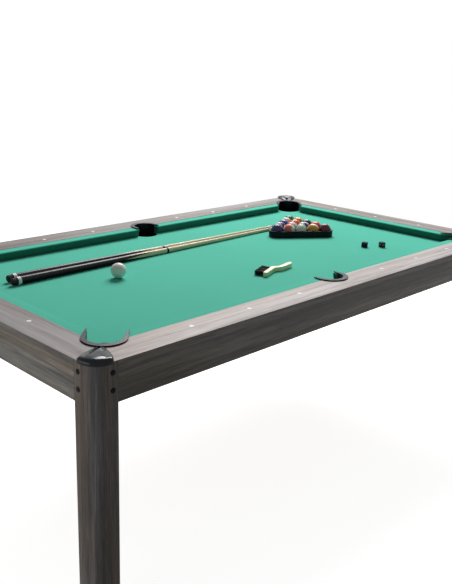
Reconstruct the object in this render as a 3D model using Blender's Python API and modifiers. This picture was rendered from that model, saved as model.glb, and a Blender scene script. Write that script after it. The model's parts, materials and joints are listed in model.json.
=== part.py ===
"""Home pool table in folded wood-look board, with its cues, balls, rack, brush and chalk.

Metres, +Z up. The origin is on the floor under the middle of the table. X runs along
the table, and the near side is -Y.
"""
import math

import bmesh
import bpy
from mathutils import Matrix, Vector

# Playing field, from cushion nose to cushion nose.
play_length = 1.980
play_width = 0.990

# The table frame.
table_height = 0.790
rail_width = 0.112
board_thickness = 0.015
corner_radius = 0.058
post_width = 0.081
apron_depth = 0.118
gap = 0.0003
weld_distance = 0.00001
arc_steps = 16

# The bed.
bed_drop = 0.036
cloth_thickness = 0.0012
bed_thickness = 0.018
bed_notch_clearance = 0.0133

# The cushions: a cloth-covered rubber nose on a wooden tongue.
cushion_depth = 0.041
cushion_top_drop = 0.0010
cushion_tongue = 0.045
nose_drop = 0.005
nose_round = 0.0030
cushion_undercut = 0.006

# The hidden frame under the bed: a spine with cross beams.
beam_thickness = 0.018
beam_depth = 0.050
beam_place_shares = (-0.66, -0.25, 0.25, 0.66)

# Pockets: a cup with a horseshoe rim. Distances outwards are from the nose lines.
pocket_wall = 0.003
pocket_depth = 0.118
rim_back_width = 0.0190
rim_arm_width = 0.0100
rim_tip_width = 0.0040
rim_height = 0.0040
pocket_steps = 32
corner_pocket_radius = 0.052
corner_pocket_out = 0.005
corner_mouth_half = 0.0587
side_pocket_radius = 0.050
side_pocket_out = 0.025
side_mouth_half = 0.0575
throat_clearance = 0.0012
rim_tip_setback = 0.003

# Corner caps.
cap_height = 0.0135
cap_round = 0.0105
cap_tip_height_share = 0.30
cap_reach = 0.066
cap_tip_half = 0.0113
cap_bulge_shares = (0.30, 0.45)
cap_lip = 0.0060
cap_lip_thickness = 0.0015
cap_round_steps = 4

# Levelers under the posts.
leveler_radius = 0.020
leveler_edge = 0.008
leveler_height = 0.012
leveler_neck_radius = 0.012
stem_radius = 0.005
stem_length = 0.030
leveler_steps = 16

# Cues: a butt and a shaft joined by a pin.
cue_length = 1.448
cue_joint = 0.735
butt_radius = 0.0145
joint_radius = 0.0105
tip_radius = 0.0062
bumper_length = 0.020
bumper_radius = 0.0125
ferrule_length = 0.025
tip_crown = 0.004
pin_radius = 0.0040
pin_length = 0.018
cue_steps = 16
cue_start_shares = {"cue_back": 0.222, "cue_front": 0.205}
cue_side_shares = {"cue_back": (0.2325, 0.2544), "cue_front": (0.1883, 0.2251)}

# Balls and their rack.
ball_diameter = 0.05715
ball_spacing_gap = 0.00035
cue_ball_shares = (-0.2683, 0.0353)
rack_from_tip = (-0.039, -0.200)
rack_turn = -34.0
rack_wall = 0.007
rack_height = 0.030
rack_clearance = 0.0020
rack_rows = 5
rack_corner_steps = 6
ball_order = (4, 13, 14, 9, 7, 12, 11, 10, 3, 2, 5, 8, 15, 1, 6)

# The table brush, lying on its side.
brush_place_shares = (-0.0488, -0.2866)
brush_turn = 21.6
brush_width = 0.018
brush_head_length = 0.086
brush_back = 0.0205
brush_reach = 0.192
bristle_length = 0.034
bristle_slice = 0.002
bristle_rows = 8
bristle_columns = 42
bristle_tip_share = 0.50
bristle_splay_share = 0.06
bristle_margin = 0.0015
brush_edge = 0.0022
brush_seat_share = 0.10

# Chalk cubes.
chalk_size = 0.022
chalk_edge = 0.0012
chalk_dish_radius = 0.016
chalk_dish_depth = 0.0030
chalk_dish_steps = 16
chalk_place_shares = ((0.3078, -0.2616), (0.3399, -0.3108))
chalk_turns = (12.0, -25.0)

# Sizes worked out from the ones above.
half_x = play_length / 2 + cushion_depth + rail_width
half_y = play_width / 2 + cushion_depth + rail_width
top = table_height
cloth_top = top - bed_drop
bed_top = cloth_top - cloth_thickness - gap
bed_bottom = bed_top - bed_thickness
apron_bottom = top - apron_depth
leg_bottom = leveler_height + gap
fold_drop = gap * math.sqrt(2)
ball_radius = ball_diameter / 2
overrun = rail_width / 10


parts = bpy.data.collections.new("home_pool_table")
cutters = bpy.data.collections.new("cutters")


def clear_scene():
    """Remove what the scene holds and add the two collections."""
    for old in list(bpy.data.objects):
        bpy.data.objects.remove(old, do_unlink=True)
    bpy.context.scene.collection.children.link(parts)
    bpy.context.scene.collection.children.link(cutters)


def new_material(name, colour, roughness, metallic=0.0):
    """A Principled material of one colour."""
    material = bpy.data.materials.new(name)
    material.use_nodes = True
    shader = material.node_tree.nodes["Principled BSDF"]
    shader.inputs["Base Color"].default_value = (*colour, 1.0)
    shader.inputs["Roughness"].default_value = roughness
    shader.inputs["Metallic"].default_value = metallic
    return material


def keep(thing, name, material):
    """Name a finished piece, give it its material and file it with the parts."""
    thing.name = name
    thing.data.name = name
    thing.data.materials.clear()
    thing.data.materials.append(material)
    parts.objects.link(thing)
    return thing


def as_cutter(thing, name):
    """File a helper shape that cuts or joins other pieces."""
    thing.name = name
    thing.hide_render = True
    thing.display_type = "WIRE"
    cutters.objects.link(thing)
    return thing


def from_bmesh(shape):
    """Turn a bmesh into an object with outward faces."""
    bmesh.ops.recalc_face_normals(shape, faces=shape.faces)
    mesh = bpy.data.meshes.new("shape")
    shape.to_mesh(mesh)
    shape.free()
    return bpy.data.objects.new("shape", mesh)


def box(low, high):
    """A box between two corners."""
    shape = bmesh.new()
    bmesh.ops.create_cube(shape, size=1.0)
    size = [b - a for a, b in zip(low, high)]
    middle = [(a + b) / 2 for a, b in zip(low, high)]
    bmesh.ops.scale(shape, vec=size, verts=shape.verts)
    bmesh.ops.translate(shape, vec=middle, verts=shape.verts)
    return from_bmesh(shape)


def plate(outlines, low, high):
    """A flat plate between two heights. The first outline is its edge, the rest are holes."""
    curve = bpy.data.curves.new("outline", "CURVE")
    curve.dimensions = "2D"
    curve.fill_mode = "BOTH"
    curve.extrude = (high - low) / 2
    for outline in outlines:
        spline = curve.splines.new("POLY")
        spline.points.add(len(outline) - 1)
        for point, (x, y) in zip(spline.points, outline):
            point.co = (x, y, 0.0, 1.0)
        spline.use_cyclic_u = True
    guide = bpy.data.objects.new("outline", curve)
    bpy.context.scene.collection.objects.link(guide)
    depsgraph = bpy.context.evaluated_depsgraph_get()
    mesh = bpy.data.meshes.new_from_object(guide.evaluated_get(depsgraph))
    bpy.data.objects.remove(guide, do_unlink=True)
    shape = bmesh.new()
    shape.from_mesh(mesh)
    bpy.data.meshes.remove(mesh)
    bmesh.ops.remove_doubles(shape, verts=shape.verts, dist=weld_distance)
    bmesh.ops.translate(shape, vec=(0, 0, (low + high) / 2), verts=shape.verts)
    return from_bmesh(shape)


def turned(profile, steps):
    """A turned solid about Z from a profile of (radius, height), top to bottom outside."""
    mesh = bpy.data.meshes.new("profile")
    edges = [(i, i + 1) for i in range(len(profile) - 1)]
    mesh.from_pydata([(radius, 0.0, height) for radius, height in profile], edges, [])
    solid = bpy.data.objects.new("turned", mesh)
    screw = solid.modifiers.new("Turn", "SCREW")
    screw.axis = "Z"
    screw.angle = math.tau
    screw.steps = steps
    screw.render_steps = steps
    screw.use_merge_vertices = True
    screw.merge_threshold = weld_distance
    screw.use_smooth_shade = True
    return solid


def combine(thing, other, operation="DIFFERENCE"):
    """Cut a piece by a helper, or join the helper to it."""
    modifier = thing.modifiers.new(operation.title(), "BOOLEAN")
    modifier.operation = operation
    modifier.solver = "EXACT"
    modifier.object = other
    return thing


def soften(thing, width, steps):
    """Round the sharp edges of a piece."""
    bevel = thing.modifiers.new("Bevel", "BEVEL")
    bevel.width = width
    bevel.segments = steps
    bevel.limit_method = "ANGLE"
    bevel.angle_limit = math.radians(40)
    return thing


def smooth(thing, angle=35.0):
    """Shade round faces smooth and keep sharp edges."""
    thing.data.shade_smooth()
    thing.data.set_sharp_from_angle(angle=math.radians(angle))
    return thing


def rounded_rectangle(x, y, radius, steps=arc_steps):
    """The outline of a rectangle of half sizes x and y with round corners."""
    outline = []
    for quarter, (sx, sy) in enumerate(((1, 1), (-1, 1), (-1, -1), (1, -1))):
        for step in range(steps + 1):
            turn = math.radians(90 * quarter + 90 * step / steps)
            outline.append((sx * (x - radius) + radius * math.cos(turn),
                            sy * (y - radius) + radius * math.sin(turn)))
    return outline


def tapered_slab(low_inset, low, high_inset, high):
    """A slab the shape of the table top whose edge slopes from one inset to another."""
    shape = bmesh.new()
    rings = []
    edges = []
    for inset, height in ((low_inset, low), (high_inset, high)):
        outline = rounded_rectangle(half_x - inset, half_y - inset, corner_radius - inset)
        ring = [shape.verts.new((x, y, height)) for x, y in outline]
        edges += [shape.edges.new(ends) for ends in zip(ring, ring[1:] + ring[:1])]
        rings.append(ring)
    bmesh.ops.bridge_loops(shape, edges=edges)
    for ring in rings:
        shape.faces.new(ring)
    return from_bmesh(shape)


corners = {"front_left": (-1, -1), "front_right": (1, -1), "back_right": (1, 1), "back_left": (-1, 1)}


def corner_points(signs, inward):
    """Points given as distances in from the two outer faces of a corner."""
    sx, sy = signs
    return [(sx * (half_x - a), sy * (half_y - b)) for a, b in inward]


def corner_arc(radius):
    """Points on an arc about a corner's centre, as distances in from its outer faces."""
    arc = []
    for step in range(arc_steps + 1):
        turn = math.radians(90 * step / arc_steps)
        arc.append((corner_radius - radius * math.sin(turn), corner_radius - radius * math.cos(turn)))
    return arc


def post_outline():
    """A post's outline, as distances in from its outer faces."""
    return corner_arc(corner_radius) + [(0, post_width), (post_width, post_width), (post_width, 0)]


def on_field(shares):
    """A place on the cloth, from its shares of the playing field's length and width."""
    return play_length * shares[0], play_width * shares[1]


def cue_ends(name):
    """Where a cue's butt end and tip lie. Its length leaves some room, and a share of that is behind it."""
    room = play_length - cue_length
    start = room * cue_start_shares[name] - play_length / 2
    sides = [play_width * share for share in cue_side_shares[name]]
    low = cloth_top + 2 * gap
    return (Vector((start, sides[0], low + butt_radius)),
            Vector((start + cue_length, sides[1], low + tip_radius)))


class Pocket:
    """Where one pocket is, which way it faces and how large it is. Locally +X is outwards."""

    def __init__(self, name, sx, sy):
        self.name = name
        self.sx = sx
        self.sy = sy
        at_corner = sx != 0
        self.radius = corner_pocket_radius if at_corner else side_pocket_radius
        self.out = corner_pocket_out if at_corner else side_pocket_out
        self.mouth_half = corner_mouth_half if at_corner else side_mouth_half
        nose_ends = -corner_mouth_half if at_corner else 0
        self.tip = nose_ends + rim_tip_setback
        nose = Vector((sx * play_length / 2, sy * play_width / 2, top))
        self.place = Matrix.Translation(nose) @ Matrix.Rotation(math.atan2(sy, sx), 4, "Z")
        self.centre = self.place @ Matrix.Translation((self.out, 0, 0))

    def hole(self, clearance):
        """The pocket's round hole as an outline in table coordinates."""
        points = []
        reach = self.radius + pocket_wall + clearance
        for step in range(pocket_steps):
            turn = math.tau * step / pocket_steps
            world = self.centre @ Vector((reach * math.cos(turn), reach * math.sin(turn), 0))
            points.append((world.x, world.y))
        return points

    def rim_outline(self):
        """A horseshoe, widest at the back, whose arms narrow towards round tips at the nose lines."""
        def arc(middle, radius, start, end):
            steps = pocket_steps // 2
            turns = [math.radians(start + (end - start) * step / steps) for step in range(steps + 1)]
            return [(middle + radius * math.cos(turn), radius * math.sin(turn)) for turn in turns]
        half = rim_tip_width / 2
        outer_middle = self.out + (rim_back_width - rim_arm_width) / 2
        outer_radius = self.radius + (rim_back_width + rim_arm_width) / 2
        end = [(self.tip, self.mouth_half + rim_tip_width), (self.tip - half, self.mouth_half + half),
               (self.tip, self.mouth_half)]
        other_end = [(x, -y) for x, y in reversed(end)]
        outer = arc(outer_middle, outer_radius, -90, 90)
        return outer + end + arc(self.out, self.radius, 90, -90) + other_end


def main():
    clear_scene()

    wood_top = new_material("light wood-look board", (0.44, 0.38, 0.35), 0.45)
    wood_side = new_material("dark wood-look board", (0.12, 0.10, 0.09), 0.5)
    wood_post = new_material("wood-look post", (0.09, 0.08, 0.075), 0.5)
    timber = new_material("plain timber", (0.55, 0.42, 0.26), 0.7)
    bed_board = new_material("bed board", (0.45, 0.34, 0.22), 0.8)
    green_cloth = new_material("green cloth", (0.06, 0.42, 0.29), 0.9)
    cushion_cloth = new_material("cushion cloth", (0.05, 0.36, 0.25), 0.9)
    black_plastic = new_material("black plastic", (0.02, 0.02, 0.022), 0.35)
    cap_plastic = new_material("glossy cap plastic", (0.02, 0.025, 0.035), 0.15)
    lacquer = new_material("black lacquer", (0.012, 0.012, 0.014), 0.15)
    maple = new_material("maple", (0.75, 0.60, 0.40), 0.3)
    handle_wood = new_material("pale varnished wood", (0.75, 0.66, 0.40), 0.35)
    bristle_black = new_material("black bristle", (0.015, 0.014, 0.018), 0.6)
    chalk_blue = new_material("chalk in its label", (0.03, 0.05, 0.09), 0.8)

    pockets = [Pocket("corner_pocket_front_left", -1, -1), Pocket("side_pocket_front", 0, -1),
               Pocket("corner_pocket_front_right", 1, -1), Pocket("corner_pocket_back_right", 1, 1),
               Pocket("side_pocket_back", 0, 1), Pocket("corner_pocket_back_left", -1, 1)]
    build_bed(pockets, bed_board, green_cloth)
    build_rails(pockets, wood_top)
    build_posts(wood_side, wood_post, black_plastic)
    build_bed_frame(timber)
    build_cushions(cushion_cloth)
    build_pockets(pockets, black_plastic)
    build_caps(cap_plastic)
    build_cues(lacquer, maple)
    build_balls(black_plastic)
    build_brush(handle_wood, bristle_black)
    build_chalk(chalk_blue)


def build_bed(pockets, bed_board, green_cloth):
    """The bed board and its cloth: one outline notched clear of the posts, with six holes."""
    edge = board_thickness + gap
    notch = post_width + bed_notch_clearance
    outline = []
    for signs in corners.values():
        points = corner_points(signs, [(edge, notch), (notch, notch), (notch, edge)])
        outline += points if signs[0] * signs[1] > 0 else points[::-1]
    holes = [pocket.hole(gap) for pocket in pockets]
    keep(plate([outline] + holes, bed_bottom, bed_top), "bed_panel", bed_board)
    keep(plate([outline] + holes, bed_top + gap, cloth_top), "bed_cloth", green_cloth)


def build_rails(pockets, wood_top):
    """Four mitred rail boards with a folded outer edge, cut round the pockets."""
    pocket_cutters = {}
    for pocket in pockets:
        reach = pocket.radius + pocket_wall + gap
        hole = turned([(0, overrun), (reach, overrun), (reach, -bed_drop), (0, -bed_drop)], pocket_steps)
        hole.matrix_world = pocket.centre
        pocket_cutters[pocket.name] = as_cutter(hole, pocket.name + "_hole")

    inner_x = half_x - rail_width
    inner_y = half_y - rail_width
    reach = rail_width + overrun
    mitre = gap / math.sqrt(2)
    for name, side_x, side_y in (("front_rail", 0, -1), ("back_rail", 0, 1),
                                 ("left_rail", -1, 0), ("right_rail", 1, 0)):
        blank = tapered_slab(board_thickness, top - board_thickness, 0, top)
        if side_y:
            far = inner_x + reach - mitre
            near = inner_x - mitre
            wedge = [(-far, side_y * (inner_y + reach)), (far, side_y * (inner_y + reach)),
                     (near, side_y * inner_y), (-near, side_y * inner_y)]
        else:
            far = inner_y + reach - mitre
            near = inner_y - mitre
            wedge = [(side_x * (inner_x + reach), -far), (side_x * (inner_x + reach), far),
                     (side_x * inner_x, near), (side_x * inner_x, -near)]
        region = as_cutter(plate([wedge], top - board_thickness - overrun, top + overrun), name + "_region")
        combine(blank, region, "INTERSECT")
        for pocket in pockets:
            if (side_y and pocket.sy == side_y) or (side_x and pocket.sx == side_x):
                combine(blank, pocket_cutters[pocket.name])
        keep(blank, name, wood_top)


def build_posts(wood_side, wood_post, black_plastic):
    """Posts, the aprons between them, and the levelers screwed into the posts."""
    under_rail = as_cutter(tapered_slab(board_thickness, top - board_thickness - fold_drop,
                                        -overrun, top + overrun - fold_drop), "under_rail")
    stem_top = leveler_height + stem_length
    room = stem_radius + gap
    middle = post_width / 2
    for corner, signs in corners.items():
        place = Matrix.Translation((signs[0] * (half_x - middle), signs[1] * (half_y - middle), 0))
        stem_hole = turned([(0, stem_top + gap), (room, stem_top + gap), (room, -overrun), (0, -overrun)],
                           leveler_steps)
        stem_hole.matrix_world = place
        post = plate([corner_points(signs, post_outline())], leg_bottom, top + overrun / 2)
        combine(post, under_rail)
        combine(post, as_cutter(stem_hole, "stem_hole_" + corner))
        keep(post, "leg_post_" + corner, wood_post)
        leveler = turned([(0, stem_top), (stem_radius, stem_top), (stem_radius, leveler_height),
                          (leveler_neck_radius, leveler_height), (leveler_radius, leveler_edge),
                          (leveler_radius, 0), (0, 0)], leveler_steps)
        leveler.matrix_world = place
        keep(leveler, "leveler_" + corner, black_plastic)

    between = post_width + gap
    apron_top = top + overrun / 2
    for name, side in (("front_apron", -1), ("back_apron", 1)):
        faces = sorted((side * half_y, side * (half_y - board_thickness)))
        apron = box((between - half_x, faces[0], apron_bottom), (half_x - between, faces[1], apron_top))
        keep(combine(apron, under_rail), name, wood_side)
    for name, side in (("left_apron", -1), ("right_apron", 1)):
        faces = sorted((side * half_x, side * (half_x - board_thickness)))
        apron = box((faces[0], between - half_y, apron_bottom), (faces[1], half_y - between, apron_top))
        keep(combine(apron, under_rail), name, wood_side)


def build_bed_frame(timber):
    """The hidden frame that carries the bed: a spine from end to end, and beams across it."""
    high = bed_bottom - gap
    low = high - beam_depth
    reach_x = half_x - board_thickness - gap
    reach_y = half_y - board_thickness - gap
    half = beam_thickness / 2
    frame = box((-reach_x, -half, low), (reach_x, half, high))
    for share in beam_place_shares:
        middle = share * half_x
        beam = box((middle - half, -reach_y, low), (middle + half, reach_y, high))
        combine(frame, as_cutter(beam, "cross_beam"), "UNION")
    keep(frame, "bed_frame", timber)


def cushion_profile():
    """A cushion's section: distance in from the rail's inner edge, and height."""
    low = cloth_top + gap
    under_board = top - board_thickness - gap
    high = top - cushion_top_drop
    return [(-cushion_tongue, low), (cushion_depth - cushion_undercut, low),
            (cushion_depth - nose_round / 2, top - nose_drop - nose_round),
            (cushion_depth, top - nose_drop),
            (cushion_depth - nose_round / 2, top - nose_drop + nose_round),
            (cushion_depth - nose_round * 2, high), (gap, high), (gap, under_board),
            (-cushion_tongue, under_board)]


def build_cushions(cushion_cloth):
    """Six cushions, each one section cut slanting at the pockets."""
    corner_clear = corner_pocket_radius + pocket_wall + throat_clearance
    corner_back = corner_clear * math.sqrt(2) - cushion_depth
    corner_nose = corner_mouth_half * math.sqrt(2)
    side_clear = side_pocket_radius + pocket_wall + throat_clearance
    side_back = math.sqrt(side_clear ** 2 - (cushion_depth - side_pocket_out) ** 2)
    end_x = play_length / 2
    end_y = play_width / 2
    runs = (("cushion_front_left", 0, -1, -1), ("cushion_front_right", 0, -1, 1),
            ("cushion_back_left", 0, 1, -1), ("cushion_back_right", 0, 1, 1),
            ("cushion_left", -1, 0, 0), ("cushion_right", 1, 0, 0))
    for name, side_x, side_y, half in runs:
        if half:
            nose_ends = sorted((half * side_mouth_half, half * (end_x - corner_nose)))
            back_ends = sorted((half * side_back, half * (end_x - corner_back)))
            back_line = Vector((0, side_y * (end_y + cushion_depth), 0))
            along = Vector((1, 0, 0))
            inward = Vector((0, -side_y, 0))
        else:
            nose_ends = (corner_nose - end_y, end_y - corner_nose)
            back_ends = (corner_back - end_y, end_y - corner_back)
            back_line = Vector((side_x * (end_x + cushion_depth), 0, 0))
            along = Vector((0, 1, 0))
            inward = Vector((-side_x, 0, 0))
        keep(cushion(nose_ends, back_ends, back_line, along, inward), name, cushion_cloth)


def cushion(nose_ends, back_ends, back_line, along, inward):
    """Sweep the section between the back ends, then trim each end to its slant."""
    longest = (min(nose_ends[0], back_ends[0]) - overrun, max(nose_ends[1], back_ends[1]) + overrun)
    bar = plate([cushion_profile()], longest[0], longest[1])
    turn = Matrix((tuple((*inward, 0)), (0, 0, 1, 0), tuple((*along, 0)), (0, 0, 0, 1))).transposed()
    shape = bmesh.new()
    shape.from_mesh(bar.data)
    bpy.data.objects.remove(bar, do_unlink=True)
    bmesh.ops.transform(shape, matrix=Matrix.Translation(back_line) @ turn, verts=shape.verts)
    up = Vector((0, 0, 1))
    for end, outside in ((0, -1), (1, 1)):
        nose = back_line + inward * cushion_depth + along * nose_ends[end]
        back = back_line + along * back_ends[end]
        slant = trim_plane(nose, back, up, along * outside)
        trim(shape, nose, slant)
        trim(shape, back, along * outside)
    return from_bmesh(shape)


def trim_plane(nose, back, up, outside):
    """The outward normal of the slanting plane through a nose end and a back end."""
    normal = (nose - back).cross(up).normalized()
    return normal if normal.dot(outside) > 0 else -normal


def trim(shape, point, normal):
    """Cut off what lies beyond a plane and close the cut."""
    geometry = shape.verts[:] + shape.edges[:] + shape.faces[:]
    cut = bmesh.ops.bisect_plane(shape, geom=geometry, plane_co=point, plane_no=normal,
                                 clear_outer=True, dist=weld_distance)
    edges = [item for item in cut["geom_cut"] if isinstance(item, bmesh.types.BMEdge)]
    if edges:
        bmesh.ops.holes_fill(shape, edges=edges)


def build_pockets(pockets, black_plastic):
    """Six pocket cups: a round cup, open to the table above the bed, with a flat rim."""
    for pocket in pockets:
        outer = pocket.radius + pocket_wall
        high = gap + rim_height
        cup = turned([(pocket.radius, high), (outer, high), (outer, -pocket_depth), (0, -pocket_depth),
                      (0, pocket_wall - pocket_depth), (pocket.radius, pocket_wall - pocket_depth),
                      (pocket.radius, high)], pocket_steps)
        cup.matrix_world = pocket.centre
        mouth = box((-outer - overrun, -outer - overrun, -bed_drop - gap),
                    (0, outer + overrun, high + overrun))
        mouth.matrix_world = pocket.centre
        combine(cup, as_cutter(mouth, pocket.name + "_mouth"))
        rim = plate([pocket.rim_outline()], gap, high)
        rim.matrix_world = pocket.place
        combine(cup, as_cutter(rim, pocket.name + "_rim"), "UNION")
        keep(cup, pocket.name, black_plastic)


def cap_outline():
    """A corner cap's shield outline, as distances in from the two outer faces."""
    lip = gap + cap_lip_thickness
    rim_edge = corner_pocket_out + corner_pocket_radius + rim_back_width + gap
    from_corner = cushion_depth + rail_width - rim_edge / math.sqrt(2)
    spread = cap_tip_half / math.sqrt(2)
    tip = Vector((from_corner - spread, from_corner + spread))
    end = Vector((-lip, cap_reach))
    span = tip - end
    bulge = end + Vector((span.x * cap_bulge_shares[0], span.y * cap_bulge_shares[1]))
    side = [tuple(end), tuple(bulge), tuple(tip)]
    return corner_arc(corner_radius + lip) + side + [(b, a) for a, b in reversed(side)]


def build_caps(cap_plastic):
    """Corner caps: domed shields over the mitres, with a short lip outside the corner."""
    seat = rounded_rectangle(half_x + gap, half_y + gap, corner_radius + gap)
    seat_cutter = as_cutter(plate([seat], top - cap_lip - overrun, top + gap), "cap_seat")
    outline = cap_outline()
    for corner, signs in corners.items():
        cap = plate([corner_points(signs, outline)], top - cap_lip, top + cap_height)
        round_top(cap, top + cap_height)
        lean_top(cap, signs, [a + b for a, b in outline])
        keep(combine(cap, seat_cutter), "corner_cap_" + corner, cap_plastic)


def round_top(thing, height):
    """Make the top of a plate one face and round its edge."""
    shape = bmesh.new()
    shape.from_mesh(thing.data)
    near = gap / 3
    tops = [face for face in shape.faces if all(abs(vert.co.z - height) < near for vert in face.verts)]
    flat = bmesh.ops.dissolve_faces(shape, faces=tops)["region"][0]
    bmesh.ops.bevel(shape, geom=flat.edges[:], offset=cap_round, segments=cap_round_steps, profile=0.5,
                    affect="EDGES", clamp_overlap=True, material=-1)
    shape.to_mesh(thing.data)
    shape.free()


def lean_top(thing, signs, depths):
    """Lower a cap's top towards its tip, which is the deepest point in from the outer faces."""
    for vert in thing.data.vertices:
        rise = vert.co.z - top
        if rise > 0:
            depth = half_x - signs[0] * vert.co.x + half_y - signs[1] * vert.co.y
            share = (max(depths) - depth) / (max(depths) - min(depths))
            vert.co.z = top + rise * (cap_tip_height_share + (1 - cap_tip_height_share) * share)


def build_cues(lacquer, maple):
    """Two cues lying on the bed, each a butt with a joint pin and a shaft."""
    for name in cue_side_shares:
        start, end = cue_ends(name)
        axis = (end - start).normalized()
        place = Matrix.Translation(start) @ axis.to_track_quat("Z", "Y").to_matrix().to_4x4()
        butt = turned([(0, cue_joint + pin_length), (pin_radius, cue_joint + pin_length),
                       (pin_radius, cue_joint), (joint_radius, cue_joint),
                       (butt_radius, bumper_length), (bumper_radius, 0), (0, 0)], cue_steps)
        butt.matrix_world = place
        keep(butt, name + "_butt", lacquer)
        low = cue_joint + gap
        hole = pin_radius + gap
        hole_end = cue_joint + pin_length + gap
        ferrule = cue_length - ferrule_length
        shaft = turned([(0, cue_length), (tip_radius - tip_crown / 2, cue_length),
                        (tip_radius, cue_length - tip_crown), (tip_radius, ferrule),
                        (joint_radius, low), (hole, low), (hole, hole_end), (0, hole_end)], cue_steps)
        shaft.matrix_world = place
        keep(shaft, name + "_shaft", maple)


def ball(number, place):
    """One ball resting on the cloth."""
    shape = bmesh.new()
    bmesh.ops.create_icosphere(shape, subdivisions=3, radius=ball_radius)
    solid = smooth(from_bmesh(shape), 60.0)
    solid.location = (*place, cloth_top + gap + ball_radius)
    colours = {0: (0.85, 0.83, 0.76), 1: (0.85, 0.55, 0.05), 2: (0.02, 0.06, 0.35),
               3: (0.65, 0.05, 0.06), 4: (0.09, 0.03, 0.18), 5: (0.85, 0.18, 0.08),
               6: (0.03, 0.30, 0.14), 7: (0.22, 0.02, 0.05), 8: (0.01, 0.01, 0.015)}
    shade = colours[number if number < 9 else number - 8]
    name = "cue_ball" if number == 0 else "ball_%02d" % number
    return keep(solid, name, new_material(name.replace("_", " "), shade, 0.08))


def build_balls(black_plastic):
    """The cue ball, the fifteen racked balls and the triangle round them."""
    ball(0, on_field(cue_ball_shares))
    pitch = ball_diameter + ball_spacing_gap
    row_step = pitch * math.sqrt(3) / 2
    first_row = ball_radius + rack_clearance + rack_wall
    tip = cue_ends("cue_front")[1]
    place = Matrix.Translation((tip.x + rack_from_tip[0], tip.y + rack_from_tip[1], 0))
    turn = place @ Matrix.Rotation(math.radians(rack_turn), 4, "Z")
    numbers = iter(ball_order)
    for row in range(rack_rows):
        count = rack_rows - row
        for column in range(count):
            local = Vector(((column - (count - 1) / 2) * pitch, first_row + row * row_step, 0))
            world = turn @ local
            ball(next(numbers), (world.x, world.y))

    side = (rack_rows - 1) * pitch
    middles = ((side / 2, first_row), (0, first_row + side * math.sqrt(3) / 2), (-side / 2, first_row))
    inner = []
    outer = []
    for index, (x, y) in enumerate(middles):
        for step in range(rack_corner_steps + 1):
            angle = math.radians(-90 + 120 * (index + step / rack_corner_steps))
            for outline, reach in ((inner, ball_radius + rack_clearance),
                                   (outer, ball_radius + rack_clearance + rack_wall)):
                outline.append((x + reach * math.cos(angle), y + reach * math.sin(angle)))
    rack = plate([outer, inner], cloth_top + gap, cloth_top + gap + rack_height)
    rack.matrix_world = turn
    keep(rack, "ball_rack", black_plastic)


def brush_outline():
    """The wooden body seen from its broad side: a straight head and a waved handle."""
    shares = ((0.000, -brush_seat_share), (0.448, -brush_seat_share), (0.500, -0.35), (0.535, -0.85),
              (0.600, -1.25), (0.730, -1.50), (0.910, -1.80), (0.985, -2.00), (1.000, -2.35),
              (0.975, -2.70), (0.880, -2.85), (0.670, -2.45), (0.530, -2.00), (0.450, -1.30),
              (0.380, -1.05), (0.020, -1.00), (-0.035, -0.85), (-0.045, -0.50), (-0.030, -0.20))
    return [(x * brush_reach, y * brush_back) for x, y in shares]


def build_brush(handle_wood, bristle_black):
    """The table brush on its side: a wooden body, and bristles on a slice of backing."""
    low = cloth_top + gap
    place = Matrix.Translation((*on_field(brush_place_shares), 0))
    turn = place @ Matrix.Rotation(math.radians(brush_turn), 4, "Z")
    body = plate([brush_outline()], low, low + brush_width)
    body.matrix_world = turn
    keep(soften(body, brush_edge, 2), "brush_handle", handle_wood)

    length = brush_head_length - 2 * bristle_margin
    width = brush_width - 2 * bristle_margin
    shape = bmesh.new()
    bmesh.ops.create_grid(shape, x_segments=bristle_columns, y_segments=bristle_rows, size=0.5)
    bmesh.ops.scale(shape, vec=(length, width, 1), verts=shape.verts)
    under = bmesh.ops.extrude_face_region(shape, geom=shape.faces[:], use_keep_orig=True)
    lowered = [item for item in under["geom"] if isinstance(item, bmesh.types.BMVert)]
    bmesh.ops.translate(shape, vec=(0, 0, -bristle_slice), verts=lowered)
    bottom = [item for item in under["geom"] if isinstance(item, bmesh.types.BMFace)]
    bmesh.ops.dissolve_faces(shape, faces=bottom)
    near = bristle_slice / 4
    cells = [face for face in shape.faces
             if len(face.verts) == 4 and all(abs(vert.co.z) < near for vert in face.verts)]
    cells = bmesh.ops.triangulate(shape, faces=cells, quad_method="FIXED")["faces"]
    chosen = []
    for face in cells:
        corners = [vert.co for vert in face.verts]
        middle = sum(corners, Vector()) / 3
        lower_side = sum(1 for corner in corners if corner.y < middle.y)
        if lower_side == 2:
            chosen.append(face)
    strands = bmesh.ops.extrude_discrete_faces(shape, faces=chosen)["faces"]
    for face in strands:
        middle = face.calc_center_median()
        splay = Vector((middle.x, middle.y, 0)) * bristle_splay_share
        for vert in face.verts:
            vert.co = middle + (vert.co - middle) * bristle_tip_share + splay
            vert.co.z += bristle_length
    bristles = from_bmesh(shape)
    outward = Matrix.Rotation(math.radians(-90), 4, "X")
    seat = gap + bristle_slice - brush_seat_share * brush_back
    middle = Vector((brush_head_length / 2, seat, low + brush_width / 2))
    bristles.matrix_world = turn @ Matrix.Translation(middle) @ outward
    keep(bristles, "brush_bristles", bristle_black)


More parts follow.
